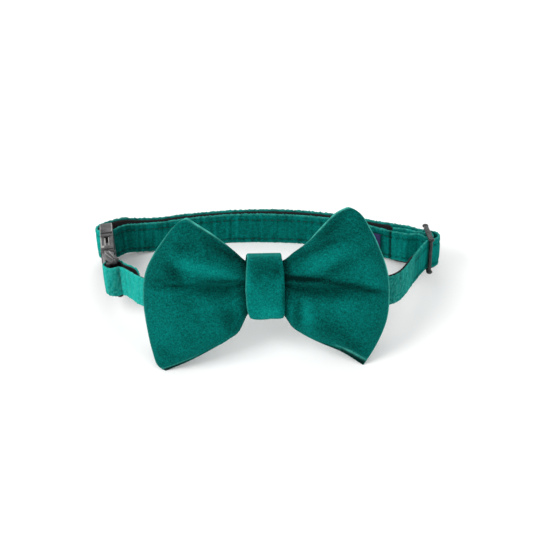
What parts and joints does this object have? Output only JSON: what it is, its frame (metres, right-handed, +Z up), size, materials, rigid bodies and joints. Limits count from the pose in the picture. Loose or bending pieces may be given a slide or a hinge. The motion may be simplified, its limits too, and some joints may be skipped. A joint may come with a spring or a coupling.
{
  "type": "pet bow tie collar",
  "caption": "Velvet bow on a strap collar with doubled back, knot band, side-release buckle and three-bar slider.",
  "frame": {"origin": "middle of the collar's box on the table that it lies on", "axes": "+X to the wearer's left along the length of the bow, +Y from the bow to the back of the neck, +Z up"},
  "size_m": [0.1288, 0.077, 0.0513],
  "materials": {
    "velvet": "velvet",
    "strap": "velvet on webbing",
    "label": "woven",
    "buckle": "satin moulded",
    "slider": "satin moulded"
  },
  "bodies": {
    "root": {"strap": "strap", "label": "label", "bow": "velvet", "knot_band": "velvet", "buckle_socket": "buckle", "buckle_plug": "buckle", "slider": "slider"}
  },
  "joints": []
}
